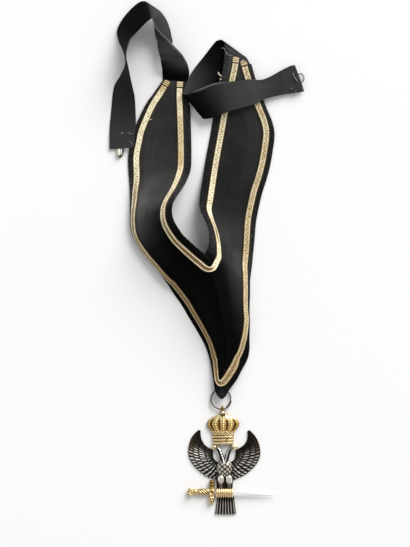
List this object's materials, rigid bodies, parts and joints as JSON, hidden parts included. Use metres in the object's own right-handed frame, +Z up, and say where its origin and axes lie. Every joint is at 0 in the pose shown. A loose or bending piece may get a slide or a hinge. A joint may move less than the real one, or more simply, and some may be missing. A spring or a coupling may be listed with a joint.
{
  "type": "masonic collar",
  "caption": "V-shaped ribbon collar edged with lace braid, two tie straps with a hook and an eye, and a cast jewel hung from its point, laid out flat.",
  "frame": {"origin": "middle of the bounding box, on the surface that the collar lies on", "axes": "+Z up from the surface, +Y from the jewel towards the strap ends, +X towards the right arm"},
  "size_m": [0.1948, 0.5126, 0.0392],
  "materials": {
    "ribbon": "ribbed black ribbon",
    "strap_ribbon": "plain black ribbon",
    "braid": "pale gold metal lace",
    "wire": "plated wire",
    "ring_metal": "tarnished ring",
    "gilt": "gilt with dark recesses",
    "oxidised_silver": "oxidised silver, bright on the ridges",
    "blade": "polished silver"
  },
  "bodies": {
    "root": {"left_band": "ribbon", "right_band": "ribbon", "inner_braid": "braid", "outer_braid": "braid", "left_strap": "strap_ribbon", "right_strap": "strap_ribbon", "hook": "wire", "eye": "wire", "ring_loop": "strap_ribbon", "ring": "ring_metal", "crown": "gilt", "eagle": "oxidised_silver", "sword_hilt": "gilt", "sword_blade": "blade"}
  },
  "joints": []
}
